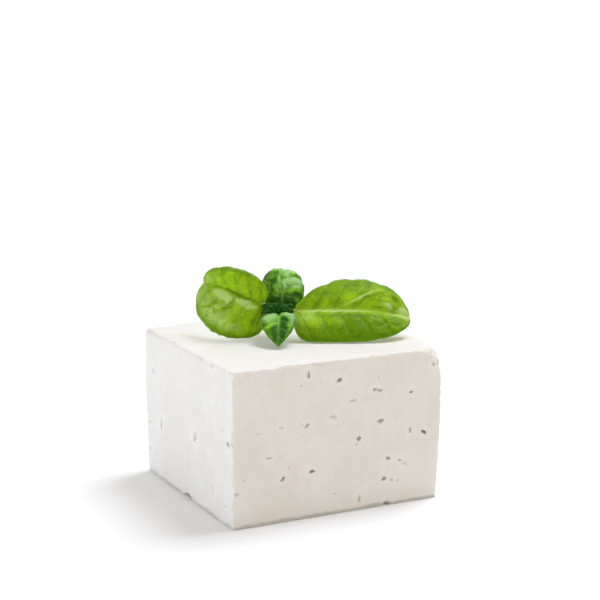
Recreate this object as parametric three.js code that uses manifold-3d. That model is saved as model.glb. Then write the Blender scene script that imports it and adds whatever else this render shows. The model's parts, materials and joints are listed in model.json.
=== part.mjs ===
// A square-cut block of brined white cheese with small openings in its faces,
// and a sprig of basil laid on top.
// Millimetres, +Z up. The origin is the middle of the flat underside, and -Y is the front.

import * as THREE from 'three';
import { mergeVertices } from 'three/addons/utils/BufferGeometryUtils.js';
import Module from 'manifold-3d';

const wasm = await Module();
wasm.setup();

// Block
const blockWidth = 104.2;
const blockDepth = 99.5;
const blockHeight = 70;
const blockCells = 14;
const blockCrowding = 2.3;
const edgeRadius = 1.3;
const faceRipple = 0.45;
const faceRippleLength = 46;

// Edges that are more worn than a fresh cut: a place, how far the wear reaches, and its radius
const wornEdges = [
  { place: [blockWidth / 2, -blockDepth / 2, blockHeight], reach: 14, radius: 7.5 },
  { place: [-blockWidth / 2, blockDepth / 2, blockHeight], reach: 44, radius: 2.4 },
  { place: [blockWidth / 2, blockDepth / 2, blockHeight], reach: 26, radius: 5 },
  { place: [blockWidth / 2, blockDepth / 5, 0], reach: 22, radius: 3 },
];

// The right-hand and back faces swell a little, fullest at this height and drawn in below it
const swellHeight = 48;
const swellDrop = 2.1;
const swellEdge = 8;

// Openings. On the front face: across, height, width, length, tilt in degrees
const frontOpenings = [
  [-15.3, 64.8, 1.6, 3.6, -6],
  [-0.2, 60.8, 2.4, 2.2, 0],
  [17.1, 54.4, 2.2, 1.5, -12],
  [19.8, 53.7, 2.4, 1.4, -8],
  [35.8, 51, 2.4, 1.4, -4],
  [6.4, 50.8, 2.6, 1.2, 10],
  [-3.3, 44.6, 3.6, 1.1, -8],
  [20.4, 39.7, 3.3, 1.9, -6],
  [-28.4, 42.7, 1.9, 1.7, 0],
  [-16.1, 42.3, 3, 1.3, 48],
  [9.5, 33, 3.1, 2, 20],
  [8.2, 30.4, 1.5, 1.3, 0],
  [35.4, 33.8, 1.3, 3.6, 4],
  [42.7, 31.8, 3, 1.8, -30],
  [24.3, 22, 2.9, 1.4, -20],
  [30.3, 20.3, 2.5, 1.4, -6],
  [33.1, 18.2, 2.9, 1.1, -18],
  [22.3, 12.8, 2.6, 2.1, 0],
  [26.1, 11.8, 1.6, 1.5, 20],
  [29.3, 11, 1.8, 1.2, -15],
  [-13.9, 21.1, 2.9, 1.6, -10],
  [-27.9, 20, 3, 1.5, 42],
  [-34.6, 30.1, 3.8, 0.9, -8],
  [9.7, 5, 1.4, 3.8, 4],
  [24.1, 0.2, 3, 2.6, 0],
  [-49.8, 16, 2.2, 2, 0],
  [47.2, 62.6, 2, 2, 30],
];

// On the left-hand face, with across counted along Y
const leftOpenings = [
  [29.3, 27, 1.5, 4.4, -14],
  [-9.2, 31.5, 4.6, 2.6, 38],
  [-45.3, 37.4, 3.6, 2.2, -14],
  [39.3, 51, 4.4, 1.4, -8],
  [-28.2, 13, 1.8, 4.4, 6],
  [-28.7, 68.2, 3.6, 1.8, 0],
  [44.3, 25, 3.6, 1.3, 8],
  [25.3, 5, 2.8, 1.5, 0],
];

// The faces turned away have openings of the same kind, spread by chance
const scatteredOpenings = 9;
const openingDepthShare = 0.75;
const openingRoughness = 0.16;
const openingSeed = 7;

// Crumbled places along the edges: a place and the size of the bite
const edgeBites = [
  { place: [-blockWidth / 2, -1.6, 0.4], size: [2.6, 4, 2.8] },
  { place: [-blockWidth / 2, 3.4, 0.2], size: [2, 6, 1.9] },
  { place: [-blockWidth / 2, 20, 0], size: [1.6, 5, 1.2] },
  { place: [-blockWidth / 2, -blockDepth / 2, 38], size: [2.2, 2.2, 2.8] },
  { place: [-blockWidth / 2, -blockDepth / 2, 17.5], size: [1.6, 1.6, 2.4] },
  { place: [blockWidth / 2 - 4.4, -blockDepth / 2, blockHeight - 1.8], size: [3.8, 5, 3.4] },
  { place: [blockWidth / 2 - 1.2, -blockDepth / 2 + 1, blockHeight - 7.6], size: [3.4, 4, 3.2] },
  { place: [blockWidth / 2, -blockDepth / 2, 24], size: [2, 2.4, 3.6] },
  { place: [32, -blockDepth / 2, 0], size: [4.6, 1.8, 1.3] },
  { place: [-12, -blockDepth / 2, 0], size: [5.2, 1.6, 1] },
  { place: [14, blockDepth / 2, blockHeight], size: [6.4, 2.2, 2] },
  { place: [blockWidth / 2, 18, 0], size: [2.2, 7, 2] },
];

// Sprig. Its own frame stands over the block and is turned to the front left:
// X runs to the right of the leaves, Y away from the viewer, Z up
const sprigPlace = [-4.6, 1.3, blockHeight + 13];
const sprigTurn = -26.91;
const leafThickness = 0.6;
const leafRidge = 0.5;
const restHeight = -12;
const restSoftness = 0.5;
const veinSlant = 0.22;
const veinCurve = 0.3;
const puckerSharpness = 0.8;
const puckerOnset = 3;
const lobePower = 4;
const petioleRadius = 0.85;
const petioleSides = 8;
const petioleSteps = 6;

// A blade starts at base and runs along toward, with its upper face turned to facing.
// Its midrib bends down by arch degrees in all. Each half has its share of the width,
// the fold at the midrib, the cup towards the margin, how it widens and narrows, and the
// lobe that its base sends back past the petiole.
const leaves = {
  basil_leaf_right: {
    base: [6.5, 0, -0.5],
    toward: [1, -0.02, 0.03],
    facing: [0, -0.68, 0.73],
    length: 54.5,
    width: 36,
    arch: 30,
    archPower: 2.5,
    near: { share: 1.14, fold: 22, cup: 45, widen: 0.26, narrow: 0.45, lobe: 0 },
    far: { share: 0.99, fold: 22, cup: 45, widen: 0.85, narrow: 0.72, lobe: 0 },
    puckers: 6,
    puckerHeight: 0.8,
    rows: 24,
    columns: 12,
    petiole: [[1.9, 2.1, -2.6], [4, 1.2, -1.8], [6.5, 0.1, -0.8], [9, 0, -0.7]],
    color: 0x74991c,
  },
  basil_leaf_left: {
    base: [-7, -1, 2.5],
    toward: [-0.93, -0.2, 0.5],
    facing: [-0.1, -0.93, 0.42],
    length: 35.5,
    width: 38,
    arch: 85,
    archPower: 1.2,
    near: { share: 0.58, fold: 38, cup: 90, widen: 0.36, narrow: 0.6, lobe: 0 },
    far: { share: 1.14, fold: 20, cup: 40, widen: 0.42, narrow: 0.62, lobe: 0.55 },
    puckers: 6,
    puckerHeight: 0.8,
    rows: 24,
    columns: 12,
    petiole: [[-2.05, 2.25, -2.4], [-3.9, 1.5, -0.8], [-6.8, -0.8, 2], [-8.6, -1.3, 2.9]],
    color: 0x7ea61d,
  },
  basil_leaf_upper: {
    base: [0.7, 1, 0.1],
    toward: [0.15, 0.15, 0.97],
    facing: [0.1, -1, 0.2],
    length: 24,
    width: 21.5,
    arch: 90,
    archPower: 1.5,
    near: { share: 1, fold: 10, cup: 50, widen: 0.38, narrow: 0.55, lobe: 0.08 },
    far: { share: 1, fold: 10, cup: 50, widen: 0.38, narrow: 0.55, lobe: 0.08 },
    puckers: 5,
    puckerHeight: 1,
    rows: 16,
    columns: 10,
    petiole: [[0.4, 1.6, -0.6], [0.5, 1.5, 0.2], [0.7, 1.4, 1.2], [0.9, 1.5, 2.2]],
    color: 0x5d8c26,
  },
  basil_leaf_lower: {
    base: [0, -1.6, -1.2],
    toward: [0, -1, 0.02],
    facing: [0, -0.02, 1],
    length: 26,
    width: 18,
    arch: 52,
    archPower: 1,
    near: { share: 0.97, fold: 10, cup: 50, widen: 0.4, narrow: 0.75, lobe: 0 },
    far: { share: 0.94, fold: 16, cup: 50, widen: 0.38, narrow: 0.75, lobe: 0 },
    puckers: 5,
    puckerHeight: 0.8,
    rows: 16,
    columns: 10,
    petiole: [[0, -0.35, -1.9], [0, -1, -1.75], [0, -1.9, -1.6], [0, -3.2, -1.5]],
    color: 0x55841f,
  },
};

// Stem, a softly square stalk that lies down on the block behind the leaves
const stemRadius = 1.15;
const stemSquareness = 0.16;
const stemSides = 12;
const stemSteps = 14;
const stemPath = [[0, 1.6, -1.8], [0.1, 3.2, -4.3], [0.3, 6.6, -8.6], [0.5, 10.6, -10.9], [0.6, 15, -11.2]];

// Bud, three pairs of leaflets still closed round the growing tip. Each leaflet has its turn
// round the tip, its thickness, width and length, how far out it stands and how far it leans
const budPlace = [0.1, -3, 2.2];
const budCoreRadius = 1;
const budLeaflets = [
  { turn: 10, size: [3, 4.2, 8.2], out: 2.7, lean: 70 },
  { turn: 88, size: [1.8, 5.8, 5.2], out: 1.1, lean: 12 },
  { turn: 172, size: [3.2, 4, 8], out: 2.7, lean: 76 },
  { turn: 267, size: [1.6, 4.8, 4.2], out: 1, lean: 30 },
  { turn: -14, size: [2.2, 3, 6.2], out: 2.9, lean: 97 },
  { turn: 197, size: [2.2, 3, 6], out: 2.9, lean: 99 },
];

// Colours and how rough each surface is
const cheeseColor = 0xf1ede3;
const cheeseRoughness = 0.7;
const leafRoughness = 0.45;
const stemColor = 0x8fae4e;
const stemRoughness = 0.6;
const budColor = 0x2f5a17;
const budRoughness = 0.55;

const degrees = Math.PI / 180;

// A repeatable stream of numbers from 0 to 1
function seededRandom(seed) {
  let state = seed;
  return () => {
    state = (state * 1664525 + 1013904223) % 4294967296;
    return state / 4294967296;
  };
}

// A closed geometry as a solid, with its shared corners merged and its empty triangles dropped
function toSolid(geometry) {
  const bare = geometry.clone();
  bare.deleteAttribute('normal');
  bare.deleteAttribute('uv');
  const merged = mergeVertices(bare);
  const corners = merged.index.array;
  const kept = [];
  for (let i = 0; i < corners.length; i += 3) {
    const [a, b, c] = corners.slice(i, i + 3);
    if (a !== b && b !== c && c !== a) {
      kept.push(a, b, c);
    }
  }
  const mesh = new wasm.Mesh({
    numProp: 3,
    vertProperties: new Float32Array(merged.attributes.position.array),
    triVerts: new Uint32Array(kept),
  });
  return new wasm.Manifold(mesh);
}

function toGeometry(solid) {
  const mesh = solid.getMesh();
  const geometry = new THREE.BufferGeometry();
  geometry.setAttribute('position', new THREE.BufferAttribute(new Float32Array(mesh.vertProperties), 3));
  geometry.setIndex(new THREE.BufferAttribute(new Uint32Array(mesh.triVerts), 1));
  geometry.computeVertexNormals();
  return geometry;
}

function namedMesh(name, solid, color, roughness) {
  const material = new THREE.MeshStandardMaterial({ color, roughness, metalness: 0 });
  const mesh = new THREE.Mesh(toGeometry(solid), material);
  mesh.name = name;
  return mesh;
}

// How rounded the block is near a point: the fresh-cut radius, more where an edge is worn
function radiusNear(point) {
  let radius = edgeRadius;
  for (const worn of wornEdges) {
    const distance = point.distanceTo(new THREE.Vector3(...worn.place));
    const share = THREE.MathUtils.smoothstep(worn.reach - distance, 0, worn.reach);
    radius = Math.max(radius, THREE.MathUtils.lerp(edgeRadius, worn.radius, share));
  }
  return radius;
}

// Slow hollows in the cut faces, from 0 to the full ripple
function rippleAt(point) {
  const turn = 2 * Math.PI / faceRippleLength;
  const wave = Math.sin(turn * point.x + 1.3) * Math.cos(turn * 0.8 * point.y + 0.4)
    + Math.sin(turn * 0.9 * point.z + turn * 0.5 * (point.x - point.y));
  return faceRipple * (0.5 + wave / 4);
}

// The block before its openings: a box whose grid crowds towards the edges, rounded and rippled
function blockBody() {
  const half = new THREE.Vector3(blockWidth / 2, blockDepth / 2, blockHeight / 2);
  const geometry = new THREE.BoxGeometry(2, 2, 2, blockCells, blockCells, blockCells);
  const position = geometry.attributes.position;
  const crowd = (value) => Math.sign(value) * (1 - (1 - Math.abs(value)) ** blockCrowding);
  const corner = new THREE.Vector3();
  const inner = new THREE.Vector3();
  for (let i = 0; i < position.count; i += 1) {
    corner.fromBufferAttribute(position, i);
    corner.set(crowd(corner.x) * half.x, crowd(corner.y) * half.y, crowd(corner.z) * half.z);
    const place = corner.clone().add(new THREE.Vector3(0, 0, half.z));
    const radius = radiusNear(place);
    inner.copy(half).subScalar(radius);
    inner.set(
      THREE.MathUtils.clamp(corner.x, -inner.x, inner.x),
      THREE.MathUtils.clamp(corner.y, -inner.y, inner.y),
      THREE.MathUtils.clamp(corner.z, -inner.z, inner.z),
    );
    const outward = corner.clone().sub(inner).normalize();
    const sunk = outward.z < -0.5 ? 0 : rippleAt(place);
    corner.copy(inner).addScaledVector(outward, radius - sunk);
    const lift = place.z < swellHeight ? (swellHeight - place.z) / swellHeight : 0;
    const drawnIn = swellDrop * lift ** 1.5;
    corner.x -= drawnIn * THREE.MathUtils.clamp(corner.x / half.x, 0, 1) ** swellEdge;
    corner.y -= drawnIn * THREE.MathUtils.clamp(corner.y / half.y, 0, 1) ** swellEdge;
    position.setXYZ(i, corner.x, corner.y, corner.z);
  }
  return fitToSize(geometry);
}

// Scales a geometry so that it fills the block's exact box, standing on Z = 0
function fitToSize(geometry) {
  geometry.computeBoundingBox();
  const box = geometry.boundingBox;
  const size = box.getSize(new THREE.Vector3());
  const middle = box.getCenter(new THREE.Vector3());
  geometry.translate(-middle.x, -middle.y, -box.min.z);
  geometry.scale(blockWidth / size.x, blockDepth / size.y, blockHeight / size.z);
  return geometry;
}

// An uneven lump, used as a cutter for openings and bites
function lump(size, random) {
  const geometry = mergeVertices(bareIcosahedron());
  const position = geometry.attributes.position;
  for (let i = 0; i < position.count; i += 1) {
    const swell = 1 + openingRoughness * (2 * random() - 1);
    position.setXYZ(i, position.getX(i) * swell, position.getY(i) * swell, position.getZ(i) * swell);
  }
  geometry.scale(size[0] / 2, size[1] / 2, size[2] / 2);
  return geometry;
}

function bareIcosahedron() {
  const geometry = new THREE.IcosahedronGeometry(1, 1);
  geometry.deleteAttribute('normal');
  geometry.deleteAttribute('uv');
  return geometry;
}

// An opening in the front face, turned about Z to the face it belongs to
function openingCutter([across, height, width, length, tilt], faceTurn, faceDistance, random) {
  const depth = openingDepthShare * (width + length);
  const geometry = lump([width, depth, length], random);
  geometry.rotateY(-tilt * degrees);
  geometry.translate(across, -faceDistance, height);
  geometry.rotateZ(faceTurn * degrees);
  return toSolid(geometry);
}

function scatteredOpening(reach, random) {
  const across = (2 * random() - 1) * (reach - 6);
  const height = 6 + random() * (blockHeight - 12);
  const width = 1.4 + 1.8 * random();
  const length = 1.2 + 1.6 * random() ** 2;
  return [across, height, width, length, 80 * (random() - 0.5)];
}

function cheeseBlock() {
  const random = seededRandom(openingSeed);
  let block = toSolid(blockBody());
  const cut = (openings, faceTurn, faceDistance) => {
    for (const opening of openings) {
      block = block.subtract(openingCutter(opening, faceTurn, faceDistance, random));
    }
  };
  const scatter = (reach) => Array.from({ length: scatteredOpenings }, () => scatteredOpening(reach, random));
  cut(frontOpenings, 0, blockDepth / 2);
  cut(leftOpenings.map(([across, ...rest]) => [-across, ...rest]), -90, blockWidth / 2);
  cut(scatter(blockWidth / 2), 180, blockDepth / 2);
  cut(scatter(blockDepth / 2), 90, blockWidth / 2);
  for (const bite of edgeBites) {
    const geometry = lump(bite.size, random);
    geometry.translate(...bite.place);
    block = block.subtract(toSolid(geometry));
  }
  return block;
}

// Midrib of a blade, in the blade's own frame, as even steps along its length
function midribOf(leaf) {
  const steps = 200;
  const points = [{ along: 0, drop: 0, angle: 0 }];
  for (let i = 1; i <= steps; i += 1) {
    const angle = leaf.arch * degrees * ((i - 0.5) / steps) ** leaf.archPower;
    const last = points[i - 1];
    points.push({
      along: last.along + Math.cos(angle) * leaf.length / steps,
      drop: last.drop - Math.sin(angle) * leaf.length / steps,
      angle: leaf.arch * degrees * (i / steps) ** leaf.archPower,
    });
  }
  return points;
}

// Half the width at a share of the length, as a share of the widest
function outlineAt(share, half) {
  const widest = half.widen / (half.widen + half.narrow);
  const value = share ** half.widen * (1 - share) ** half.narrow;
  return value / (widest ** half.widen * (1 - widest) ** half.narrow);
}

// A point of the blade's upper face: share runs from base to tip, side from -1 to 1
function bladePoint(leaf, share, side) {
  const half = side > 0 ? leaf.far : leaf.near;
  const rib = leaf.midrib[Math.round(share * (leaf.midrib.length - 1))];
  const out = Math.abs(side);
  const distance = out * leaf.width / 2 * half.share * outlineAt(share, half);
  const bend = half.cup * degrees / (leaf.width / 2);
  const fold = half.fold * degrees;
  const across = Math.sign(side) * (Math.sin(fold) - Math.sin(fold - bend * distance)) / bend;
  const slanted = share - veinSlant * out * (1 - veinCurve * out);
  const wave = Math.abs(Math.sin(Math.PI * leaf.puckers * slanted)) ** puckerSharpness;
  const fade = Math.min(puckerOnset * out, 1) * (1 - out ** 4) * Math.sqrt(Math.sin(Math.PI * share));
  const pucker = leaf.puckerHeight * wave * fade;
  const rise = (Math.cos(fold - bend * distance) - Math.cos(fold)) / bend + pucker;
  const back = half.lobe * distance * (1 - share) ** lobePower;
  const local = new THREE.Vector3(
    rib.along + Math.sin(rib.angle) * rise - back,
    across,
    rib.drop + Math.cos(rib.angle) * rise,
  );
  const point = local.applyMatrix4(leaf.frame).add(new THREE.Vector3(...leaf.base));
  point.z = restHeight + restSoftness * Math.log1p(Math.exp((point.z - restHeight) / restSoftness));
  return point;
}

// Outward direction of the blade's upper face, from small steps along and across it
function bladeNormal(leaf, share, side) {
  const step = 0.03;
  const s = THREE.MathUtils.clamp(share, 2 * step, 1 - 2 * step);
  const t = THREE.MathUtils.clamp(side, -1 + step, 1 - step);
  const along = bladePoint(leaf, s + step, t).sub(bladePoint(leaf, s - step, t));
  const across = bladePoint(leaf, s, t + step).sub(bladePoint(leaf, s, t - step));
  return along.cross(across).normalize();
}

// A thin wavy solid: the upper face, the lower face with its ridge, and the margin between them
function bladeSolid(leaf) {
  const columns = leaf.columns;
  const positions = [];
  for (let i = 0; i <= leaf.rows; i += 1) {
    const share = (1 - Math.cos(Math.PI * i / leaf.rows)) / 2;
    const isEnd = i === 0 || i === leaf.rows;
    for (let j = 0; j <= columns; j += 1) {
      const side = isEnd ? 0 : 2 * j / columns - 1;
      const upper = bladePoint(leaf, share, side);
      const ridge = side === 0 && !isEnd ? leafRidge : 0;
      const lower = upper.clone().addScaledVector(bladeNormal(leaf, share, side), -leafThickness - ridge);
      positions.push(...upper.toArray(), ...lower.toArray());
    }
  }
  const corner = (i, j, face) => 2 * (i * (columns + 1) + j) + face;
  const triangles = [];
  const quad = (a, b, c, d) => triangles.push(a, b, c, a, c, d);
  for (let i = 0; i < leaf.rows; i += 1) {
    for (let j = 0; j < columns; j += 1) {
      quad(corner(i, j, 0), corner(i + 1, j, 0), corner(i + 1, j + 1, 0), corner(i, j + 1, 0));
      quad(corner(i, j, 1), corner(i, j + 1, 1), corner(i + 1, j + 1, 1), corner(i + 1, j, 1));
    }
    quad(corner(i, 0, 0), corner(i, 0, 1), corner(i + 1, 0, 1), corner(i + 1, 0, 0));
    quad(corner(i, columns, 0), corner(i + 1, columns, 0), corner(i + 1, columns, 1), corner(i, columns, 1));
  }
  const geometry = new THREE.BufferGeometry();
  geometry.setAttribute('position', new THREE.Float32BufferAttribute(positions, 3));
  geometry.setIndex(triangles);
  return toSolid(geometry);
}

// A stalk of even thickness along a smooth path, its section squared by squareness
function stalkSolid(path, radius, sides, steps, squareness) {
  const section = new THREE.Shape();
  for (let i = 0; i < sides; i += 1) {
    const angle = 2 * Math.PI * i / sides;
    const reach = radius * (1 + squareness * Math.abs(Math.sin(2 * angle)));
    const corner = [reach * Math.cos(angle), reach * Math.sin(angle)];
    if (i === 0) {
      section.moveTo(...corner);
    } else {
      section.lineTo(...corner);
    }
  }
  section.closePath();
  const extrudePath = new THREE.CatmullRomCurve3(path.map((point) => new THREE.Vector3(...point)));
  return toSolid(new THREE.ExtrudeGeometry(section, { steps, extrudePath, bevelEnabled: false }));
}

// A basil leaf: its blade and the petiole that carries it
function basilLeaf(leaf) {
  const toward = new THREE.Vector3(...leaf.toward).normalize();
  const facing = new THREE.Vector3(...leaf.facing).projectOnPlane(toward).normalize();
  const across = facing.clone().cross(toward);
  const placed = {
    ...leaf,
    frame: new THREE.Matrix4().makeBasis(toward, across, facing),
    midrib: midribOf(leaf),
  };
  return bladeSolid(placed).add(stalkSolid(leaf.petiole, petioleRadius, petioleSides, petioleSteps, 0));
}

// The growing tip: leaflets standing round a small core and leaning out
function basilBud() {
  let bud = toSolid(new THREE.IcosahedronGeometry(budCoreRadius, 1));
  for (const { turn, size, out, lean } of budLeaflets) {
    const leaflet = new THREE.IcosahedronGeometry(0.5, 1);
    leaflet.scale(...size);
    leaflet.rotateY(lean * degrees);
    leaflet.translate(out, 0, 0);
    leaflet.rotateZ(turn * degrees);
    bud = bud.add(toSolid(leaflet));
  }
  return bud;
}

const sprig = new THREE.Group();
sprig.position.set(...sprigPlace);
sprig.rotation.z = sprigTurn * degrees;
const stem = stalkSolid(stemPath, stemRadius, stemSides, stemSteps, stemSquareness);
sprig.add(namedMesh('basil_stem', stem, stemColor, stemRoughness));
for (const [name, leaf] of Object.entries(leaves)) {
  sprig.add(namedMesh(name, basilLeaf(leaf), leaf.color, leafRoughness));
}
const bud = namedMesh('basil_bud', basilBud(), budColor, budRoughness);
bud.position.set(...budPlace);
sprig.add(bud);

const brinedWhiteCheese = new THREE.Group();
brinedWhiteCheese.add(namedMesh('cheese_block', cheeseBlock(), cheeseColor, cheeseRoughness));
brinedWhiteCheese.add(sprig);

export default brinedWhiteCheese;
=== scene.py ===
# Brined white cheese with a basil sprig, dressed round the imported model
import json
import math
import random

import bmesh
import bpy
import numpy as np
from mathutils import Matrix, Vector, noise

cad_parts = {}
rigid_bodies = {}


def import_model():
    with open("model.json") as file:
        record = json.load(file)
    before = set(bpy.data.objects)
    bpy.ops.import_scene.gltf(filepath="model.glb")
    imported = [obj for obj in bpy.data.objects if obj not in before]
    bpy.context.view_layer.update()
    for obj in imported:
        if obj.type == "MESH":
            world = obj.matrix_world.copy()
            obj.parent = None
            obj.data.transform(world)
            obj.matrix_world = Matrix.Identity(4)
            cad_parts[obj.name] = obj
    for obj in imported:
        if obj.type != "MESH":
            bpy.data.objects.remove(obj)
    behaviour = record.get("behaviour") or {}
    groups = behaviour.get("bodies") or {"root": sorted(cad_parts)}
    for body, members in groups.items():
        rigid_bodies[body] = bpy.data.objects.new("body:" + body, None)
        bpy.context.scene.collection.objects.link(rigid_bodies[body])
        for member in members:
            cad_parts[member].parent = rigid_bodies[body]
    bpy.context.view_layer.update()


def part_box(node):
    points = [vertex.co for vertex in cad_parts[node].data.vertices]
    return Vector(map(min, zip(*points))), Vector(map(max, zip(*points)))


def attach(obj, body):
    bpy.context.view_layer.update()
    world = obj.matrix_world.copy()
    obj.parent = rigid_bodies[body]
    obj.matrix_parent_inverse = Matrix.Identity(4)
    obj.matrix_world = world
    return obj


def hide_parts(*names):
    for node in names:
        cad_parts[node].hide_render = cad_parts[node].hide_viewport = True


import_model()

mm = 0.001  # sizes below are in millimetres, and Blender's are in metres

camera = {
    "azimuth": -26.91,  # degrees from a straight front view, to the left
    "elevation": 11.51,
    "distance": 750.1,
    "target": (4.6, -1.75, 86.9),
    "lens": 98.38,
    "sensor": 36.0,
    "clipEnd": 50,  # in metres
}


def addCamera():
    turn, tilt = math.radians(camera["azimuth"]), math.radians(camera["elevation"])
    back = Vector((math.sin(turn) * math.cos(tilt), -math.cos(turn) * math.cos(tilt), math.sin(tilt)))
    eye = bpy.data.cameras.new("camera")
    eye.lens = camera["lens"]
    eye.sensor_width = camera["sensor"]
    eye.clip_end = camera["clipEnd"]
    holder = bpy.data.objects.new("camera", eye)
    holder.location = (Vector(camera["target"]) + back * camera["distance"]) * mm
    holder.rotation_euler = back.to_track_quat("Z", "Y").to_euler()
    bpy.context.scene.collection.objects.link(holder)
    bpy.context.scene.camera = holder


# A socket with arithmetic: an expression on wires adds its Math nodes
class Wire:
    def __init__(self, paint, socket):
        self.paint = paint
        self.socket = socket

    def join(self, operation, first, second):
        return self.paint.node("ShaderNodeMath", {"operation": operation}, {0: first, 1: second})

    def __add__(self, other):
        return self.join("ADD", self, other)

    def __radd__(self, other):
        return self.join("ADD", other, self)

    def __sub__(self, other):
        return self.join("SUBTRACT", self, other)

    def __rsub__(self, other):
        return self.join("SUBTRACT", other, self)

    def __mul__(self, other):
        return self.join("MULTIPLY", self, other)

    def __rmul__(self, other):
        return self.join("MULTIPLY", other, self)


# The nodes of a material or a world, round the shader that it starts with
class Paint:
    def __init__(self, owner, shaderName="Principled BSDF"):
        owner.use_nodes = True
        self.owner = owner
        self.tree = owner.node_tree
        self.shader = self.tree.nodes[shaderName]

    def node(self, kind, settings, inputs, output=0):
        made = self.tree.nodes.new(kind)
        for key, value in settings.items():
            setattr(made, key, value)
        for key, value in inputs.items():
            self.feed(made.inputs[key], value)
        return Wire(self, made.outputs[output])

    def feed(self, socket, value):
        if isinstance(value, Wire):
            self.tree.links.new(value.socket, socket)
        else:
            socket.default_value = value

    def set(self, **values):
        for key, value in values.items():
            self.feed(self.shader.inputs[key.replace("_", " ")], value)

    def places(self, kind="Object"):
        return self.node("ShaderNodeTexCoord", {}, {}, kind)

    def mark(self, name):
        return self.node("ShaderNodeAttribute", {"attribute_name": name}, {}, "Fac")

    def cloud(self, places, size, detail=3.0, roughness=0.5, seed=0.0):
        # noise from 0 to 1 with lumps of that size
        inputs = {"Vector": places, "Scale": 1 / (size * mm), "W": seed}
        inputs.update({"Detail": detail, "Roughness": roughness})
        return self.node("ShaderNodeTexNoise", {"noise_dimensions": "4D"}, inputs, "Fac")

    def between(self, value, low, high, outLow=0.0, outHigh=1.0):
        # eases from outLow to outHigh while the value goes from low to high
        inputs = {"Value": value, "From Min": low, "From Max": high, "To Min": outLow, "To Max": outHigh}
        return self.node("ShaderNodeMapRange", {"interpolation_type": "SMOOTHSTEP"}, inputs)

    def blend(self, factor, first, second):
        # sockets 6 and 7 are the two colours of a Mix node, and its output 2 is the mixed one
        inputs = {0: factor, 6: self.opaque(first), 7: self.opaque(second)}
        return self.node("ShaderNodeMix", {"data_type": "RGBA"}, inputs, 2)

    def opaque(self, colour):
        return colour if isinstance(colour, Wire) else (*colour, 1)

    def bump(self, height, strength, distance, under=None):
        inputs = {"Height": height, "Strength": strength, "Distance": distance * mm}
        if under:
            inputs["Normal"] = under
        return self.node("ShaderNodeBump", {}, inputs)


def addObject(name, points, faces, marks=None):
    mesh = bpy.data.meshes.new(name)
    mesh.from_pydata((np.asarray(points) * mm).tolist(), [], [list(face) for face in faces])
    for mark, values in (marks or {}).items():
        layer = mesh.attributes.new(mark, "FLOAT", "POINT")
        layer.data.foreach_set("value", np.asarray(values, float).ravel())
    mesh.shade_smooth()
    thing = bpy.data.objects.new(name, mesh)
    bpy.context.scene.collection.objects.link(thing)
    return thing


def cleanMesh(thing, closeness):
    # merges the points of collapsed rows and drops the faces that they leave empty
    work = bmesh.new()
    work.from_mesh(thing.data)
    bmesh.ops.remove_doubles(work, verts=work.verts, dist=closeness * mm)
    bmesh.ops.dissolve_degenerate(work, edges=work.edges, dist=closeness * mm)
    work.to_mesh(thing.data)
    work.free()
    thing.data.shade_smooth()


def dress(piece, node, slotName, material):
    piece.data.materials.clear()
    piece.data.materials.append(material)
    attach(piece, "root")
    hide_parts(node)


noiseSteps = (17.3, 9.1, 5.7)  # takes each seed to a place of its own in the noise


def wander(points, size, seed):
    # smooth noise from about -1 to 1, with lumps of that size
    shift = Vector([seed * step for step in noiseSteps])
    return np.array([noise.noise(Vector(point) / size + shift) for point in points])


def smoothStep(value):
    value = np.clip(value, 0, 1)
    return value * value * (3 - 2 * value)


def seededStream(seed):
    # the same stream of numbers from 0 to 1 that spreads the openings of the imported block
    factor, step, count = 1664525, 1013904223, 2 ** 32
    state = seed
    while True:
        state = (state * factor + step) % count
        yield state / count


def tinted(colour, tint):
    return tuple(channel * factor for channel, factor in zip(colour, tint))


# Cheese block
low, high = (np.array(corner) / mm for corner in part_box("cheese_block"))
blockSize = high - low
halfWidth, halfDepth = blockSize[0] / 2, blockSize[1] / 2
blockHeight = blockSize[2]

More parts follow.
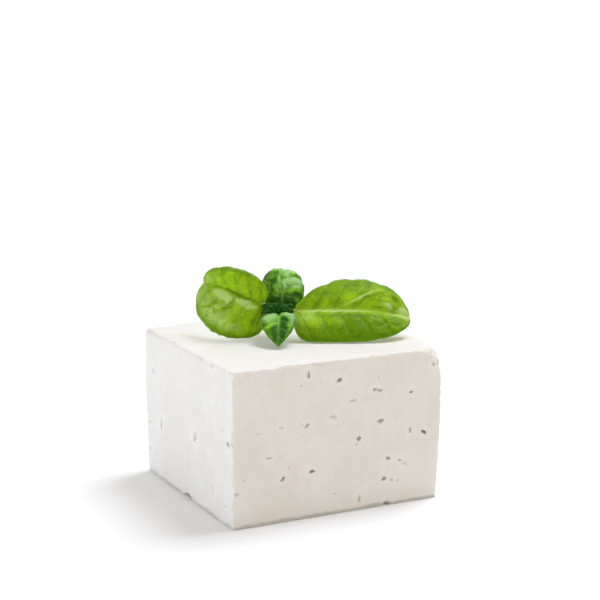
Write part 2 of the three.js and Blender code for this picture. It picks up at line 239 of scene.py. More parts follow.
cheese = {
    "cells": (100, 96, 70),  # across the width, depth and height
    "crowding": 1.4,  # how far the cells crowd towards the edges
    "edgeRadius": 1.3,
    "ripple": 0.45,  # how far the slow waves of the faces sink in
    "rippleLength": 46.0,
    "rippleShifts": (1.3, 0.4),
    "rippleRates": (0.8, 0.9, 0.5),
    "swellHeight": 48.0,  # below this height the right and back sides draw in
    "swellDrop": 2.1,
    "swellPower": 1.5,
    "swellEdge": 8,
    "lumps": ((11.0, 0.14), (4.0, 0.09), (1.7, 0.04)),  # size and height of the curd's unevenness
    "lumpSeed": 7,
    "crumbleSize": 2.2,
    "crumbleBroad": (7, 0.5),  # size and share of the slower crumbling
    "crumbleOnset": 0.08,
    "crumbleDepth": 1.6,
    "crumbleReach": 1.8,  # how far from an edge the crumbling goes
    "underDepth": 1.9,  # the same along the lowest edges
    "underHeight": 1.8,
    "underLoss": 0.4,
    "openingFit": 0.92,
    "openingDepth": 0.75,  # depth over the sum of an opening's width and length
    "shallowest": 0.3,  # share of that depth in the faintest openings
    "openingRoughness": 0.55,
    # how fast the painted shade in an opening grows with how deep it is
    "paintedShadeContrast": 1.5,
    "biteSeed": 105,
    "rimCentre": 0.9,  # where the pale rim of an opening is strongest, and how wide it is
    "rimWidth": 0.55,
    "rimGain": 0.4,  # lower makes the rims of small openings fainter
    "edgeRim": 0.7,
    "footShade": 0.7,  # painted contact shadow: the dark line along the lowest edges
    "footReach": 0.8,
    "footWobble": (6, 0.7, 0.6),  # its size, its mean and how far it strays
    "farShade": 0.42,  # painted shade: a grey patch on the top by its far left corner
    "farReach": (26, 26, 3),
    "scattered": 9,  # openings on each hidden face
    "scatterSeed": 11,
    "scatterMargin": 6,
    "scatterWidth": (1.4, 1.8),  # the least, and how much more it can be
    "scatterLength": (1.2, 1.6),
    "scatterTilt": 80,
    "scatterDeep": 0.7,
    "pinholes": 70,  # on all four sides together
    "pinholeSeed": 4,
    "pinholeMargin": 4,
    "pinholeSizes": (0.45, 1.0),
    "pinholeTilt": 60,
    "pinholeDeep": 0.4,
    "pinholeSink": 0.1,
    "colour": (0.872, 0.848, 0.798),
    "warmTint": (0.99, 0.966, 0.938),
    "paleTint": (1.03, 1.03, 1.03),
    "dullTint": (0.96, 0.94, 0.92),
    "grainTint": (0.93, 0.93, 0.93),
    "rimColour": (0.95, 0.93, 0.87),
    # the colour of the painted shade
    "paintedShadeColour": (0.5, 0.465, 0.4),
    "broadSize": 24,
    "mottleSize": 5,
    "streakSize": 3.2,
    "streakStretch": (1, 1, 0.3),
    "grainSize": 0.8,
    "dullShare": 0.6,
    "streakShare": 0.5,
    "grainShare": 0.3,
    "crumbShare": 0.8,
    # how far the painted shade goes towards that colour
    "paintedShadeShare": 0.55,
}

# a worn place, how far the wear reaches, and its radius
wornEdges = [
    ((halfWidth, -halfDepth, blockHeight), 14, 7.5),
    ((-halfWidth, halfDepth, blockHeight), 44, 2.4),
    ((halfWidth, halfDepth, blockHeight), 26, 5),
    ((halfWidth, halfDepth * 0.4, 0), 22, 3),
    ((-halfWidth, -5, blockHeight), 34, 2.6),
]

# on the front face: across, height, width, length, tilt in degrees, and how deep from 0 to 1, which also sets
# the painted shade inside
frontOpenings = [
    (-15.3, 64.8, 1.6, 3.6, -6, 0.6),
    (-0.2, 60.8, 2.4, 2.2, 0, 1.0),
    (17.1, 54.4, 2.2, 1.5, -12, 0.8),
    (19.8, 53.7, 2.4, 1.4, -8, 0.6),
    (35.8, 51, 2.4, 1.4, -4, 0.9),
    (6.4, 50.8, 2.6, 1.2, 10, 0.4),
    (-3.3, 44.6, 3.6, 1.1, -8, 0.4),
    (20.4, 39.7, 3.3, 1.9, -6, 0.8),
    (-28.4, 42.7, 1.9, 1.7, 0, 0.35),
    (-16.1, 42.3, 3, 1.3, 48, 0.7),
    (9.5, 33, 3.1, 2, 20, 1.0),
    (8.2, 30.4, 1.5, 1.3, 0, 0.5),
    (35.4, 33.8, 1.3, 3.6, 4, 0.5),
    (42.7, 31.8, 3, 1.8, -30, 1.0),
    (24.3, 22, 2.9, 1.4, -20, 0.9),
    (30.3, 20.3, 2.5, 1.4, -6, 0.6),
    (33.1, 18.2, 2.9, 1.1, -18, 0.35),
    (22.3, 12.8, 2.6, 2.1, 0, 0.9),
    (26.1, 11.8, 1.6, 1.5, 20, 0.5),
    (29.3, 11, 1.8, 1.2, -15, 0.4),
    (-13.9, 21.1, 2.9, 1.6, -10, 1.0),
    (-27.9, 20, 3, 1.5, 42, 0.8),
    (-34.6, 30.1, 3.8, 0.9, -8, 0.25),
    (9.7, 5, 1.4, 3.8, 4, 0.45),
    (24.1, 0.6, 3.6, 3.2, 0, 1.0),
    (-49.8, 16, 2.2, 2, 0, 0.5),
    (47.2, 62.6, 2, 2, 30, 0.5),
]

# on the left-hand face, with across counted along Y
leftOpenings = [
    (29.3, 27, 1.8, 5.8, -14, 0.25),
    (-9.2, 31.5, 2.6, 6.4, -24, 0.25),
    (-45.3, 37.4, 3.6, 2.2, -14, 0.6),
    (39.3, 51, 4.4, 1.4, -8, 0.15),
    (-28.2, 13, 1.4, 4.8, 6, 0.2),
    (-28.7, 68.2, 3.6, 1.8, 0, 0.2),
    (44.3, 25, 3.6, 1.3, 8, 0.2),
    (25.3, 5, 2.8, 1.5, 0, 0.25),
    (44, 12, 1.6, 2.4, 20, 0.3),
    (39.5, 7, 2, 1.3, -10, 0.35),
]

# crumbled places along the edges: where, the size of the bite, and how much painted shade fills it from 0 to
# 1
edgeBites = [
    ((-halfWidth, -0.6, 0.8), (6, 7.4, 3.4), 1.0),
    ((-halfWidth, 3.4, 0.2), (3.6, 7, 2.2), 0.8),
    ((-halfWidth, 13, 0), (3, 9, 1.2), 0.8),
    ((-halfWidth, 24, 0), (2.6, 8, 1.4), 0.8),
    ((-halfWidth, -12, 0), (2.4, 9, 1.1), 0.8),
    ((-halfWidth, -30, 0), (2.6, 12, 1.2), 0.8),
    ((-halfWidth, -halfDepth, 38), (2.2, 2.2, 2.8), 0.5),
    ((-halfWidth, -halfDepth, 17.5), (1.6, 1.6, 2.4), 0.5),
    ((halfWidth - 4.4, -halfDepth, blockHeight - 1.8), (3.8, 5, 3.4), 0.5),
    ((halfWidth - 1.2, -halfDepth + 1, blockHeight - 7.6), (3.4, 4, 3.2), 0.5),
    ((halfWidth, -halfDepth, 24), (2, 2.4, 3.6), 0.5),
    ((32, -halfDepth, 0), (4.6, 1.8, 1.3), 0.5),
    ((-12, -halfDepth, 0), (5.2, 1.6, 1), 0.5),
    ((14, halfDepth, blockHeight), (6.4, 2.2, 2), 0.5),
    ((halfWidth, 18, 0), (2.2, 7, 2), 0.5),
    ((halfWidth, -halfDepth, 51), (2.2, 2.4, 6), 0.2),
    ((halfWidth - 0.4, -halfDepth, 36), (2, 2.2, 4), 0.2),
    ((halfWidth - 1.4, -halfDepth, 11), (2.2, 2.4, 5), 0.2),
    ((-22, -halfDepth, blockHeight), (7, 1.8, 1.4), 0.1),
    ((24, -halfDepth, blockHeight), (8, 2, 1.6), 0.1),
    ((-halfWidth, -12, blockHeight), (2.2, 8, 1.8), 0.1),
    ((-halfWidth, -27, blockHeight), (2.4, 7, 1.8), 0.1),
]


def boxLattice(cells):
    # the skin of a box as shared points from -1 to 1, with its quads facing out
    places, quads, start = [], [], 0
    for axis in range(3):
        a, b = (axis + 1) % 3, (axis + 2) % 3
        for side in (0, 1):
            i, j = np.meshgrid(np.arange(cells[a] + 1), np.arange(cells[b] + 1), indexing="ij")
            place = np.zeros(i.shape + (3,), int)
            place[..., axis], place[..., a], place[..., b] = side * cells[axis], i, j
            ids = start + np.arange(i.size).reshape(i.shape)
            start += i.size
            ring = [ids[:-1, :-1], ids[1:, :-1], ids[1:, 1:], ids[:-1, 1:]]
            quads.append(np.stack(ring if side else ring[::-1], -1).reshape(-1, 4))
            places.append(place.reshape(-1, 3))
    shared, index = np.unique(np.concatenate(places), axis=0, return_inverse=True)
    return shared / np.array(cells) * 2 - 1, index.ravel()[np.concatenate(quads)]


def radiusNear(points):
    radius = np.full(len(points), cheese["edgeRadius"])
    for place, reach, worn in wornEdges:
        share = smoothStep((reach - np.linalg.norm(points - place, axis=1)) / reach)
        radius = np.maximum(radius, cheese["edgeRadius"] + (worn - cheese["edgeRadius"]) * share)
    return radius[:, None]


def rippleAt(points):
    x, y, z = points.T
    turn = 2 * math.pi / cheese["rippleLength"]
    shiftX, shiftY = cheese["rippleShifts"]
    rateY, rateZ, rateSlant = cheese["rippleRates"]
    wave = np.sin(turn * x + shiftX) * np.cos(turn * rateY * y + shiftY)
    wave += np.sin(turn * rateZ * z + turn * rateSlant * (x - y))
    return cheese["ripple"] * (0.5 + wave / 4)  # from none to all of it, as the wave goes from -2 to 2


def edgesNear(corner, half, reach):
    # how near each point is to an edge of the block, from 0 to 1
    toFaces = np.sort(half - np.abs(corner), axis=1)
    return np.exp(-(toFaces[:, 1] / reach) ** 2)


def crumbleAt(points, corner, half):
    # how deep the curd has crumbled away along the edges
    nearEdge = edgesNear(corner, half, cheese["crumbleReach"])
    broadSize, broadShare = cheese["crumbleBroad"]
    loose = wander(points, cheese["crumbleSize"], seed=3) + broadShare * wander(points, broadSize, seed=5)
    loose = np.maximum(loose - cheese["crumbleOnset"], 0)
    foot = np.exp(-(points[:, 2] / cheese["underHeight"]) ** 2)
    depth = cheese["crumbleDepth"] + (cheese["underDepth"] - cheese["crumbleDepth"]) * foot
    return depth * nearEdge * (loose + cheese["underLoss"] * foot)


def shadesAt(points):
    # the painted contact shadow along the lowest edges and the faint painted shade at the far left of the top
    size, mean, stray = cheese["footWobble"]
    foot = np.exp(-(points[:, 2] / cheese["footReach"]) ** 2)
    foot = foot * (mean + stray * wander(points, size, seed=2))
    far = (points - (-halfWidth, halfDepth, blockHeight)) / cheese["farReach"]
    far = np.exp(-np.sum(far ** 2, axis=1))
    return cheese["footShade"] * foot + cheese["farShade"] * far


def cheeseSkin():
    half = np.array([halfWidth, halfDepth, blockHeight / 2])
    lattice, quads = boxLattice(cheese["cells"])
    corner = np.sign(lattice) * (1 - (1 - np.abs(lattice)) ** cheese["crowding"]) * half
    place = corner + [0, 0, half[2]]
    radius = radiusNear(place)
    inner = np.clip(corner, -(half - radius), half - radius)
    outward = corner - inner
    outward /= np.linalg.norm(outward, axis=1)[:, None]
    sunk = rippleAt(place) + crumbleAt(place, corner, half)
    sunk -= sum(height * wander(place, size, cheese["lumpSeed"] + size) for size, height in cheese["lumps"])
    sunk[outward[:, 2] < -0.5] = 0  # the under side stays flat
    point = inner + outward * (radius - sunk[:, None])
    lift = np.clip((cheese["swellHeight"] - place[:, 2]) / cheese["swellHeight"], 0, 1)
    drawnIn = cheese["swellDrop"] * lift ** cheese["swellPower"]
    for axis in (0, 1):
        point[:, axis] -= drawnIn * np.clip(point[:, axis] / half[axis], 0, 1) ** cheese["swellEdge"]
    least, most = point.min(axis=0), point.max(axis=0)
    point = low + (point - least) / (most - least) * blockSize
    edges = cheese["edgeRim"] * edgesNear(corner, half, cheese["edgeRadius"])
    rims = np.maximum(rimsNear(point), edges)
    return addObject("cheese", point, quads, {"painted_shade": shadesAt(point), "rim": rims})


# how uneven a lump is before it is scaled to its size
lump = {
    "coarseSize": 0.42,
    "fineSize": 0.2,
    "fineShare": 0.4,
    "fineSeed": 50,
}


def blob(size, seed, rough, divisions=3):
    # an uneven lump with lobes, for cutting openings and for the leaflets of the bud
    work = bmesh.new()
    bmesh.ops.create_icosphere(work, subdivisions=divisions, radius=0.5)
    points = np.array([v.co[:] for v in work.verts])
    faces = [[v.index for v in face.verts] for face in work.faces]
    work.free()
    fine = wander(points, lump["fineSize"], seed + lump["fineSeed"])
    swell = 1 + rough * wander(points, lump["coarseSize"], seed) + lump["fineShare"] * rough * fine
    return points * swell[:, None] * np.array(size), faces


def turned(points, axis, degrees):
    a, b = (axis + 1) % 3, (axis + 2) % 3
    cos, sin = math.cos(math.radians(degrees)), math.sin(math.radians(degrees))
    moved = points.copy()
    moved[:, a] = points[:, a] * cos - points[:, b] * sin
    moved[:, b] = points[:, a] * sin + points[:, b] * cos
    return moved


def openingBlob(opening, faceTurn, faceDistance, seed):
    across, height, width, length, tilt, deep = opening
    width, length = cheese["openingFit"] * width, cheese["openingFit"] * length
    shallow = cheese["shallowest"]
    depth = cheese["openingDepth"] * (width + length) * (shallow + (1 - shallow) * deep)
    points, faces = blob((width, depth, length), seed, cheese["openingRoughness"])
    points = turned(points, 1, -tilt) + [across, -faceDistance, height]
    return turned(points, 2, faceTurn), faces


def scatteredOpening(reach, draw):
    margin = cheese["scatterMargin"]
    leastWidth, moreWidth = cheese["scatterWidth"]
    leastLength, moreLength = cheese["scatterLength"]
    across = (2 * next(draw) - 1) * (reach - margin)
    height = margin + next(draw) * (blockHeight - 2 * margin)
    width = leastWidth + moreWidth * next(draw)
    length = leastLength + moreLength * next(draw) ** 2
    tilt = cheese["scatterTilt"] * (next(draw) - 0.5)
    return across, height, width, length, tilt, cheese["scatterDeep"]


def pinhole(reach, chance):
    margin, most = cheese["pinholeMargin"], cheese["pinholeTilt"]
    across = chance.uniform(margin - reach, reach - margin)
    height = chance.uniform(margin, blockHeight - margin)
    width = chance.uniform(*cheese["pinholeSizes"])
    length = chance.uniform(*cheese["pinholeSizes"])
    return across, height, width, length, chance.uniform(-most, most), cheese["pinholeDeep"]


def faceOpenings():
    # every opening with the turn and distance of the face that it is in
    draw, chance = seededStream(cheese["scatterSeed"]), random.Random(cheese["pinholeSeed"])
    back = [scatteredOpening(halfWidth, draw) for n in range(cheese["scattered"])]
    right = [scatteredOpening(halfDepth, draw) for n in range(cheese["scattered"])]
    left = [(-across, *rest) for across, *rest in leftOpenings]
    faces = [
        (frontOpenings, 0, halfDepth, halfWidth),
        (left, -90, halfWidth, halfDepth),
        (back, 180, halfDepth, halfWidth),
        (right, 90, halfWidth, halfDepth),
    ]
    for openings, turn, distance, reach in faces:
        for opening in openings:
            yield opening, turn, distance
        for n in range(cheese["pinholes"] // len(faces)):
            yield pinhole(reach, chance), turn, distance - cheese["pinholeSink"]


def cheeseCutters():
    # each cutter carries how much painted shade its hollow gets
    cutters = []
    for opening, turn, distance in faceOpenings():
        points, mesh = openingBlob(opening, turn, distance, len(cutters))
        cutters.append((points, mesh, opening[-1] ** cheese["paintedShadeContrast"]))
    for number, (place, size, shade) in enumerate(edgeBites):
        points, mesh = blob(size, cheese["biteSeed"] + number, cheese["openingRoughness"], divisions=4)
        cutters.append((points + place, mesh, shade))
    return cutters


def rimsNear(points):
    # how near each point is to the rim of an opening, from 0 to 1
    rims = np.zeros(len(points))
    for (across, height, width, length, tilt, deep), turn, distance in faceOpenings():
        place = turned(np.array([[across, -distance, height]]), 2, turn)[0]
        far = np.linalg.norm(points - place, axis=1) / (0.5 * (width + length))
        rim = np.exp(-((far - cheese["rimCentre"]) / cheese["rimWidth"]) ** 2)
        rims = np.maximum(rims, rim * min(1, cheese["rimGain"] * (width + length)))
    return rims


def addCheese():
    # cuts every opening and bite out of the skin at once, and keeps their marks, the painted shade among them
    block = cheeseSkin()
    shelf = bpy.data.collections.new("cutters")
    bpy.context.scene.collection.children.link(shelf)
    for number, (points, faces, deep) in enumerate(cheeseCutters()):
        marks = {"painted_shade": np.full(len(points), deep), "rim": np.zeros(len(points))}
        cutter = addObject(f"cutter_{number}", points, faces, marks)
        bpy.context.scene.collection.objects.unlink(cutter)
        shelf.objects.link(cutter)
    cut = block.modifiers.new("openings", "BOOLEAN")
    cut.operation = "DIFFERENCE"
    cut.operand_type = "COLLECTION"
    cut.collection = shelf
    cut.solver = "MANIFOLD"
    bpy.context.view_layer.objects.active = block
    bpy.ops.object.modifier_apply(modifier=cut.name)
    for cutter in list(shelf.objects):
        bpy.data.meshes.remove(cutter.data)
    bpy.data.collections.remove(shelf)
    return block


def cheesePaint():
    paint = Paint(bpy.data.materials.new("brined_curd"))
    places, painted_shade, rim = paint.places(), paint.mark("painted_shade"), paint.mark("rim")
    upright = paint.node("ShaderNodeMapping", {}, {"Vector": places, "Scale": cheese["streakStretch"]})
    broad = paint.cloud(places, cheese["broadSize"], detail=2)
    mottle = paint.cloud(places, cheese["mottleSize"], detail=4, roughness=0.6, seed=1)
    streak = paint.cloud(upright, cheese["streakSize"], detail=3, roughness=0.55, seed=4)
    grain = paint.cloud(places, cheese["grainSize"], detail=4, roughness=0.65, seed=2)
    tints = (cheese["warmTint"], cheese["paleTint"], cheese["dullTint"])
    warm, pale, dull = (tinted(cheese["colour"], tint) for tint in tints)
    colour = paint.blend(paint.between(broad, 0.35, 0.68), warm, pale)
    colour = paint.blend(paint.between(mottle, 0.35, 0.75) * cheese["dullShare"], colour, dull)
    colour = paint.blend(paint.between(streak, 0.4, 0.7) * cheese["streakShare"], colour, pale)
    grainy = paint.between(grain, 0.45, 0.7) * cheese["grainShare"]
    colour = paint.blend(grainy, colour, tinted(warm, cheese["grainTint"]))
    crumb = rim * paint.between(grain, 0.4, 0.62)
    colour = paint.blend(crumb * cheese["crumbShare"], colour, cheese["rimColour"])
    # painted shade in the openings and bites, a painted contact shadow along the lowest edges, and a painted
    # grey patch at the far left of the top
    colour = paint.blend(painted_shade * cheese["paintedShadeShare"], colour, cheese["paintedShadeColour"])
    relief = paint.bump(mottle + streak * 0.5, strength=0.3, distance=0.5)
    relief = paint.bump(grain + crumb, strength=0.35, distance=0.2, under=relief)
    paint.set(Base_Color=colour, Normal=relief)
    paint.set(Roughness=paint.between(mottle, 0.25, 0.8, 0.5, 0.66) - painted_shade * 0.16)
    paint.set(Subsurface_Weight=0.4, Subsurface_Radius=(1.0, 0.85, 0.65), Subsurface_Scale=1.6 * mm)
    paint.set(Specular_IOR_Level=0.32)
    return paint.owner


# Basil. The sprig's own frame stands over the block: X to the right of the leaves, Y away, Z up
sprig = {
    "place": (-4.6, 1.3, blockHeight + 13),
    "turn": -26.91,
    "restHeight": -12.5,  # where the leaves come to lie on the cheese
    "restSoftness": 0.5,
    "veinSlant": 0.22,  # how far towards the tip the side veins run
    "veinCurve": 0.3,
    "puckerSharpness": 0.8,
    "puckerOnset": 3,
    "lobePower": 4,
    "thickness": 0.42,
    "marginThinning": 0.55,
    "midribDepth": 0.55,  # how far the midrib stands out below
    "midribGroove": 0.22,  # how far it is sunk in above
    "midribWidth": 0.75,
    "midribFade": 0.7,
    "veinDepth": 0.26,
    "veinRidge": 0.12,
    "veinWidth": 0.36,
    "veinMark": 0.8,
    "veinOnset": 4,
    "veinEnd": 1.25,
    "faintestVein": 0.3,
    "veinDraw": (12.9898, 78.233, 5, 43758.5453),  # draws how strong each side vein is
    "quiltSizes": (3.4, 1.4),
    "quiltFine": 0.4,  # share of the finer quilting
    "quiltOnset": 5,
    "crinkleSize": 2.2,
    "crinkleStart": 0.62,  # the share of the blade where the crinkles begin, and how soon they are full
    "crinkleRun": 0.25,
    "straySize": 2.6,  # of the wandering outlines of the painted highlight and shade patches
    "straySide": 2.6,
    "crestGain": 1.4,
    "petioleRadius": 0.85,
    "petioleTaper": ((0, 1.05), (0.15, 0.82), (0.7, 0.72), (1, 0.35)),
    "petioleSteps": 8,
    "petioleSides": 16,
    "petioleMarks": {"vein": 1.0, "under": 0.6},
    "closeness": 0.002,  # points nearer than this are merged
    "scallops": 11,  # small teeth along each margin
    "scallopDepth": 0.008,
    "scallopRate": 0.37,  # of a second, slower wave that makes them uneven
    "frills": 4.5,  # slow waves of the margin, up and down
    "frillHeight": 0.45,
}

# Each blade: half widths as shares, folds and cups in degrees, how it widens and narrows, its base lobe.
# Patches: painted highlights and sheen (paler ones) and painted shade in hollows, creases and on the sides
# turned from the light (darker ones), with a few pale vein lines and their dark edges: share, side, length
# and width over the blade, strength, slant
largeRight = {
    "base": (6.5, 0, -0.5),
    "toward": (1, -0.02, 0.03),
    "facing": (0, -0.68, 0.73),
    "length": 54.5,
    "width": 36,
    "arch": 30,
    "archPower": 2.5,
    "near": {"share": 1.14, "fold": 22, "cup": 45, "widen": 0.22, "narrow": 0.45, "lobe": 0},
    "far": {"share": 0.99, "fold": 22, "cup": 45, "widen": 0.85, "narrow": 0.72, "lobe": 0},
    "puckers": 6,
    "puckerHeight": 0.8,
    "rib": 1.0,
    "quilt": 0.38,
    "crinkle": 0.9,
    "petiole": ((1.9, 2.1, -2.6), (4, 1.2, -1.8), (6.5, 0.1, -0.8), (9, 0, -0.7)),
    "grid": (150, 90),
    "stray": 0.016,
    "paintedLightPatches": (
        (0.34, -0.06, 0.3, 0.05, 1.6, 0),
        (0.45, -0.24, 0.3, 0.08, -0.6, 0),
        (0.5, -0.62, 0.6, 0.4, -1.1, 0),
        (0.12, -0.3, 0.08, 0.25, 1.0, 0),
        (0.28, -0.45, 0.14, 0.18, 0.4, 0),
        (0.86, -0.16, 0.1, 0.08, 1.4, 0),
        (0.93, 0.2, 0.05, 0.35, 1.5, 0),
        (0.8, 0.22, 0.04, 0.16, 1.2, 0),
        (0.86, 0.55, 0.05, 0.25, -0.9, 0),
        (0.5, 0.75, 0.4, 0.14, -0.4, 0),
        (0.97, -0.1, 0.05, 0.6, 1.4, 0),
        (0.25, 0.5, 0.25, 0.3, -0.35, 0),
        (0.58, 0.38, 0.14, 0.035, 1.5, 1.9),
        (0.61, 0.32, 0.13, 0.05, -0.9, 2.0),
        (0.72, 0.12, 0.06, 0.03, -1.0, 0),
        (0.5, 0.97, 0.4, 0.05, 1.0, 0),
        (0.45, -0.97, 0.4, 0.1, -2.6, 0),
    ),
    "seed": 1,
}

largeLeft = {
    "base": (-7, -1, 2.5),
    "toward": (-0.93, -0.2, 0.5),
    "facing": (-0.1, -0.93, 0.42),
    "length": 35.5,
    "width": 38,
    "arch": 85,
    "archPower": 1.2,
    "near": {"share": 0.58, "fold": 38, "cup": 90, "widen": 0.36, "narrow": 0.6, "lobe": 0},
    "far": {"share": 1.14, "fold": 20, "cup": 40, "widen": 0.42, "narrow": 0.62, "lobe": 0.55},
    "puckers": 6,
    "puckerHeight": 0.8,
    "rib": 0.25,
    "quilt": 0.5,
    "crinkle": 0.3,
    "petiole": ((-2.05, 2.25, -2.4), (-3.9, 1.5, -0.8), (-6.8, -0.8, 2), (-8.6, -1.3, 2.9)),
    "grid": (130, 90),
    "stray": 0.022,
    "paintedLightPatches": (
        (0.23, 0.17, 0.12, 0.08, 2.2, -0.3),
        (0.52, 0.19, 0.13, 0.085, 2.2, -0.3),
        (0.385, 0.24, 0.02, 0.1, -1.0, 0),
        (0.4, 0.02, 0.34, 0.035, -1.3, 0),
        (0.12, 0.6, 0.1, 0.3, -0.7, 0),
        (0.6, 0.6, 0.3, 0.35, 0.6, 0),
        (0.75, -0.5, 0.2, 0.3, 0.35, 0),
        (0.5, -0.55, 0.3, 0.2, -0.3, 0),
        (0.35, 0.75, 0.3, 0.12, 0.4, 0),
        (0.9, -0.1, 0.1, 0.6, 0.5, 0),
        (0.45, 0.45, 0.1, 0.04, -0.9, 1.6),
        (0.62, 0.5, 0.1, 0.04, -0.8, 1.6),
        (0.3, 0.6, 0.1, 0.04, -0.6, 1.6),
        (0.3, 0.97, 0.3, 0.05, -1.4, 0),
        (0.4, -0.97, 0.3, 0.06, 1.0, 0),
    ),
    "seed": 2,
}

youngUpper = {
    "base": (0.7, 1, 0.1),
    "toward": (0.15, 0.15, 0.97),
    "facing": (0.1, -1, 0.2),
    "length": 24,
    "width": 21.5,
    "arch": 90,
    "archPower": 1.5,
    "near": {"share": 1, "fold": 10, "cup": 50, "widen": 0.38, "narrow": 0.55, "lobe": 0.2},
    "far": {"share": 1, "fold": 10, "cup": 50, "widen": 0.38, "narrow": 0.55, "lobe": 0.2},
    "puckers": 5,
    "puckerHeight": 1.0,
    "rib": 0.6,
    "quilt": 0.62,
    "crinkle": 0.4,
    "petiole": ((0.4, 1.6, -0.6), (0.5, 1.5, 0.2), (0.7, 1.4, 1.2), (0.9, 1.5, 2.2)),
    "grid": (110, 80),
    "stray": 0.05,
    "paintedLightPatches": (
        (0.12, -0.4, 0.16, 0.5, -1.2, 0),
        (0.12, 0.4, 0.13, 0.5, -1.1, 0),
        (0.5, 0.5, 0.28, 0.1, -0.9, 0),
        (0.55, 0.32, 0.25, 0.07, 0.6, 0),
        (0.62, -0.1, 0.24, 0.1, 1.8, -0.4),
        (0.55, -0.55, 0.13, 0.3, 2.0, 0),
        (0.72, -0.6, 0.04, 0.25, -1.6, 0),
        (0.82, -0.5, 0.1, 0.35, 1.5, 0),
        (0.34, -0.66, 0.06, 0.22, -1.6, 0),
        (0.9, 0.1, 0.1, 0.8, 1.2, 0),
        (0.5, 0.2, 0.24, 0.09, 0.6, 0.2),
        (0.45, 0.85, 0.25, 0.12, 0.6, 0),
        (0.5, 0.02, 0.3, 0.04, -0.8, -0.2),
    ),
    "seed": 3,
}

youngLower = {
    "base": (0, -1.6, -1.2),
    "toward": (0, -1, 0.02),
    "facing": (0, -0.02, 1),
    "length": 26,
    "width": 18,
    "arch": 52,
    "archPower": 1,
    "near": {"share": 0.97, "fold": 15, "cup": 50, "widen": 0.4, "narrow": 0.75, "lobe": 0},
    "far": {"share": 0.94, "fold": 20, "cup": 50, "widen": 0.38, "narrow": 0.75, "lobe": 0},
    "puckers": 5,
    "puckerHeight": 0.8,
    "rib": 1.0,
    "quilt": 0.45,
    "crinkle": 0.3,
    "petiole": ((0, -0.35, -1.9), (0, -1, -1.75), (0, -1.9, -1.6), (0, -3.2, -1.5)),
    "grid": (110, 80),
    "stray": 0.05,
    "paintedLightPatches": (
        (0.2, -0.6, 0.16, 0.4, 2.1, 0),
        (0.2, 0.6, 0.14, 0.4, 2.1, 0),
        (0.44, 0.3, 0.2, 0.22, -1.4, 0),
        (0.8, 0.3, 0.24, 0.5, -1.6, 0),
        (0.8, -0.3, 0.22, 0.5, -1.3, 0),
        (0.5, -0.45, 0.14, 0.25, 0.7, 0),
        (0.5, 0.75, 0.2, 0.2, 0.8, 0),
    ),
    "seed": 4,
}


def unit(vector):
    vector = np.asarray(vector, float)
    return vector / np.linalg.norm(vector)


def sprigToBlock(points):
    return turned(points, 2, sprig["turn"]) + sprig["place"]


def midribOf(leaf, steps=400):
    middles = (np.arange(steps) + 0.5) / steps
    angles = math.radians(leaf["arch"]) * middles ** leaf["archPower"]
    along = np.concatenate([[0], np.cumsum(np.cos(angles))]) * leaf["length"] / steps
    drop = np.concatenate([[0], -np.cumsum(np.sin(angles))]) * leaf["length"] / steps
    return np.linspace(0, 1, steps + 1), along, drop


def outlineAt(share, widen, narrow):
    widest = widen / (widen + narrow)
    return share ** widen * (1 - share) ** narrow / (widest ** widen * (1 - widest) ** narrow)


def bladeGrid(leaf, share, side):
    # the upper face in the sprig's frame, how far its points are from the midrib and from the
    # nearest side vein, and the number of that vein
    def pick(key):
        return np.where(side > 0, leaf["far"][key], leaf["near"][key])

    steps, along, drop = midribOf(leaf)
    angle = math.radians(leaf["arch"]) * share ** leaf["archPower"]
    out = np.abs(side)
    turns = 2 * math.pi * sprig["scallops"] * share
    scallop = np.sin(turns + 2 * side + leaf["seed"])
    scallop = scallop + np.sin(sprig["scallopRate"] * turns + 3 * side + 2 * leaf["seed"])
    shape = outlineAt(share, pick("widen"), pick("narrow")) * (1 + sprig["scallopDepth"] * scallop * out ** 6)
    distance = out * leaf["width"] / 2 * pick("share") * shape
    bend = np.radians(pick("cup")) / (leaf["width"] / 2)
    fold = np.radians(pick("fold"))
    across = np.sign(side) * (np.sin(fold) - np.sin(fold - bend * distance)) / bend
    slanted = share - sprig["veinSlant"] * out * (1 - sprig["veinCurve"] * out)
    wave = np.abs(np.sin(math.pi * leaf["puckers"] * slanted)) ** sprig["puckerSharpness"]
    fade = np.minimum(sprig["puckerOnset"] * out, 1) * (1 - out ** 4) * np.sqrt(np.sin(math.pi * share))
    rise = (np.cos(fold - bend * distance) - np.cos(fold)) / bend + leaf["puckerHeight"] * wave * fade
    frill = np.sin(2 * math.pi * sprig["frills"] * share + side + 2 * leaf["seed"]) * out ** 4
    rise += sprig["frillHeight"] * frill * np.sin(math.pi * share)
    back = pick("lobe") * distance * (1 - share) ** sprig["lobePower"]
    toward = unit(leaf["toward"])
    facing = unit(np.asarray(leaf["facing"]) - np.dot(leaf["facing"], toward) * toward)
    local = [np.interp(share, steps, along) + np.sin(angle) * rise - back, across,
             np.interp(share, steps, drop) + np.cos(angle) * rise]
    points = np.stack(local, -1) @ np.array([toward, np.cross(facing, toward), facing]) + leaf["base"]
    slot = leaf["puckers"] * slanted
    toVein = np.abs(slot - np.round(slot)) / leaf["puckers"] * leaf["length"]
    return points, distance, toVein, np.round(slot)


def layDown(points):
    # eases whatever would sink into the cheese up to rest on it
    rest, soft = sprig["restHeight"], sprig["restSoftness"]
    points[..., 2] = rest + soft * np.logaddexp(0, (points[..., 2] - rest) / soft)
    return points


def gridNormals(points):
    normals = np.cross(np.gradient(points, axis=0), np.gradient(points, axis=1))
    length = np.linalg.norm(normals, axis=2, keepdims=True)
    normals = normals / np.maximum(length, 1e-9)
    normals[0] = unit(normals[1].mean(axis=0))
    normals[-1] = unit(normals[-2].mean(axis=0))
    return normals


